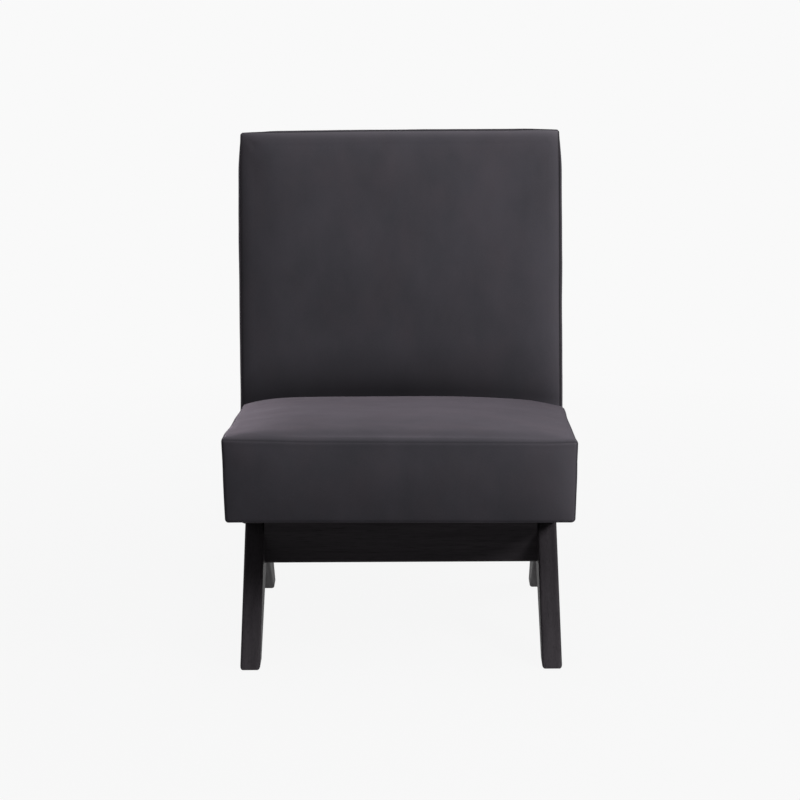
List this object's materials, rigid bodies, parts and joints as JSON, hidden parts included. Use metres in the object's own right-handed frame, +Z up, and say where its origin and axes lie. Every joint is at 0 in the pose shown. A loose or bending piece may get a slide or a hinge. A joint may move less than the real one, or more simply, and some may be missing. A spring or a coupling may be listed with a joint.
{
  "type": "armless lounge chair",
  "caption": "Armless upholstered lounge chair with a boxed seat, a raked boxed back and a dark wooden base of crossed slanting legs.",
  "frame": {"origin": "on the floor, below the middle of the chair's overall width and depth", "axes": "+X across the chair, towards the right of its front view, the front faces -Y, +Z up"},
  "size_m": [0.584, 0.713, 0.8209],
  "materials": {
    "stained_wood": "hardwood with a near-black stain and a satin lacquer",
    "dowel_wood": "plain fluted beech dowel",
    "frame_wood": "planed beech, unfinished",
    "plated_steel": "zinc plated steel",
    "tack_strip_steel": "thin galvanised strip",
    "glide_plastic": "moulded nylon glide",
    "webbing": "woven jute webbing",
    "deck_cloth": "open plain-weave jute cloth",
    "foam": "cut polyurethane foam",
    "wadding": "bonded polyester wadding",
    "velvet": "short-pile charcoal velvet",
    "dust_cloth": "black spun-bonded cloth"
  },
  "bodies": {
    "root": {"left_front_leg": "stained_wood", "left_rear_leg": "stained_wood", "right_front_leg": "stained_wood", "right_rear_leg": "stained_wood", "left_bearer": "stained_wood", "right_bearer": "stained_wood", "front_apron": "stained_wood", "rear_cross_rail": "stained_wood", "leg_joint_dowels": "dowel_wood", "bearer_dowels": "dowel_wood", "apron_dowels": "dowel_wood", "cross_rail_dowels": "dowel_wood", "foot_glides": "glide_plastic", "base_screws": "plated_steel", "base_screw_washers": "plated_steel", "seat_front_rail": "frame_wood", "seat_rear_rail": "frame_wood", "seat_left_rail": "frame_wood", "seat_right_rail": "frame_wood", "seat_frame_dowels": "dowel_wood", "seat_corner_blocks": "frame_wood", "corner_block_screws": "plated_steel", "seat_long_webbing": "webbing", "seat_cross_webbing": "webbing", "seat_webbing_staples": "plated_steel", "seat_deck_cloth": "deck_cloth", "seat_foam": "foam", "seat_wadding": "wadding", "seat_cover": "velvet", "seat_dust_cover": "dust_cloth", "dust_cover_staples": "plated_steel", "back_left_upright": "frame_wood", "back_right_upright": "frame_wood", "back_top_rail": "frame_wood", "back_tacking_rail": "frame_wood", "back_bottom_rail": "frame_wood", "back_frame_dowels": "dowel_wood", "back_bolt_blocks": "frame_wood", "back_bolts": "plated_steel", "back_bolt_washers": "plated_steel", "back_tee_nuts": "plated_steel", "back_cross_webbing": "webbing", "back_long_webbing": "webbing", "back_webbing_staples": "plated_steel", "back_deck_cloth": "deck_cloth", "back_foam": "foam", "back_wadding": "wadding", "back_cover": "velvet", "back_tack_strips": "tack_strip_steel", "back_outside_panel": "velvet"}
  },
  "joints": []
}
